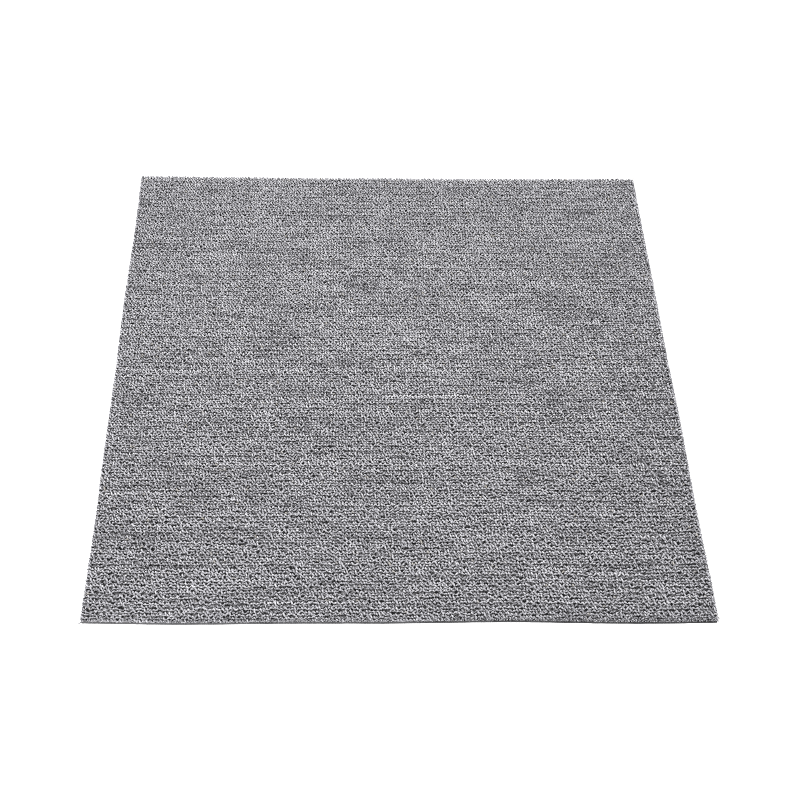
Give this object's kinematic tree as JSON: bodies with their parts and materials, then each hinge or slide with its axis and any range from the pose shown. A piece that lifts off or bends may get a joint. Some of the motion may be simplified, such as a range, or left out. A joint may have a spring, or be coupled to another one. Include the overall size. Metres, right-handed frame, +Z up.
{
  "type": "carpet tile",
  "caption": "Square carpet tile: a low grey heather loop pile in straight tuft rows on a heavy dark backing, laid loose edge to edge with others as floor covering.",
  "frame": {"origin": "middle of the underside of the backing, on the floor", "axes": "+Z up out of the pile, X along the tuft rows with +X to the picture's right, +Y from the picture's front edge to its back edge"},
  "size_m": [0.5, 0.5, 0.0065],
  "materials": {
    "pile": "matte",
    "backing": "matte"
  },
  "bodies": {
    "root": {"pile": "pile", "backing": "backing"}
  },
  "joints": []
}
